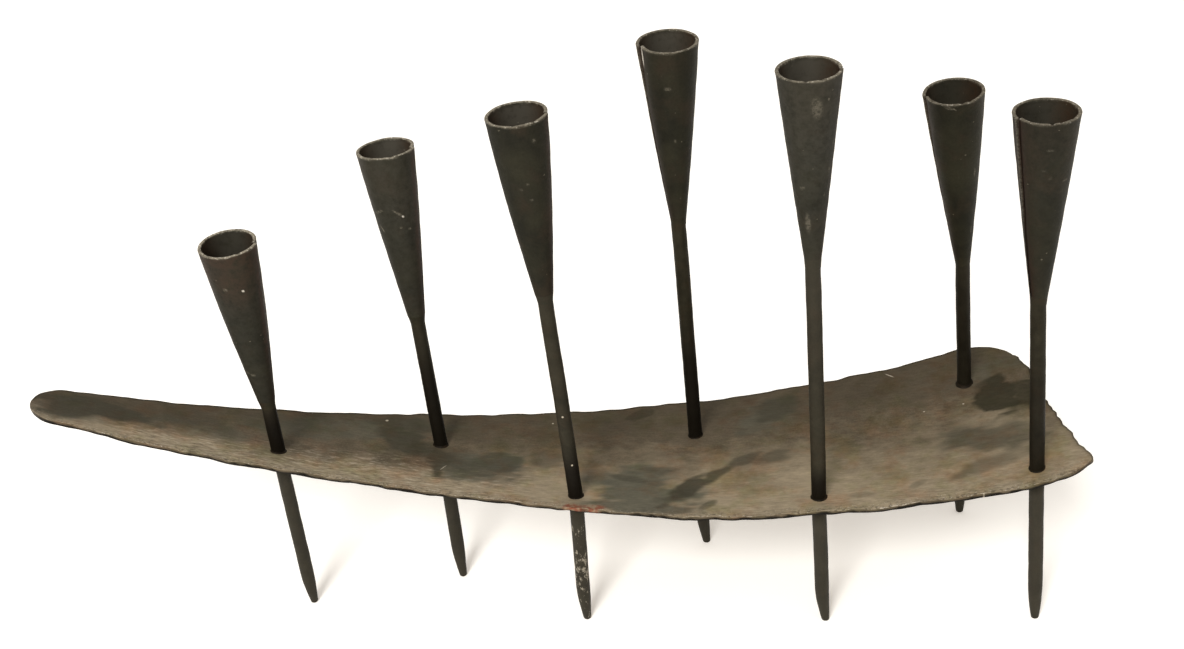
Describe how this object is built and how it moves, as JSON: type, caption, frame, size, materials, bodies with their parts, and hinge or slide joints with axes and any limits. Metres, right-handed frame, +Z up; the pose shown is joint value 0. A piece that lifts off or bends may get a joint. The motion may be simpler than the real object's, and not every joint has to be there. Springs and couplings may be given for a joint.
{
  "type": "candelabra",
  "caption": "Forged iron candelabra: a long bowed leaf-shaped plate pierced by upright round bars that stand on ground feet and carry slender conical candle cups at staggered heights.",
  "frame": {"origin": "on the floor, under the middle of the whole object's box", "axes": "+X along the plate from its narrow tip to its broad end, +Y from the front to the rear, +Z up"},
  "size_m": [0.5338, 0.1324, 0.3177],
  "materials": {
    "plate_iron": "matte",
    "bar_iron": "matte",
    "cup_iron": "matte",
    "weld_iron": "matte"
  },
  "bodies": {
    "root": {"plate": "plate_iron", "stem_1": "bar_iron", "stem_2": "bar_iron", "stem_3": "bar_iron", "stem_4": "bar_iron", "stem_5": "bar_iron", "stem_6": "bar_iron", "stem_7": "bar_iron", "cup_1": "cup_iron", "cup_2": "cup_iron", "cup_3": "cup_iron", "cup_4": "cup_iron", "cup_5": "cup_iron", "cup_6": "cup_iron", "cup_7": "cup_iron", "neck_braze_1": "weld_iron", "neck_braze_2": "weld_iron", "neck_braze_3": "weld_iron", "neck_braze_4": "weld_iron", "neck_braze_5": "weld_iron", "neck_braze_6": "weld_iron", "neck_braze_7": "weld_iron", "upper_weld_1": "weld_iron", "upper_weld_2": "weld_iron", "upper_weld_3": "weld_iron", "upper_weld_4": "weld_iron", "upper_weld_5": "weld_iron", "upper_weld_6": "weld_iron", "upper_weld_7": "weld_iron", "lower_weld_1": "weld_iron", "lower_weld_2": "weld_iron", "lower_weld_3": "weld_iron", "lower_weld_4": "weld_iron", "lower_weld_5": "weld_iron", "lower_weld_6": "weld_iron", "lower_weld_7": "weld_iron"}
  },
  "joints": []
}
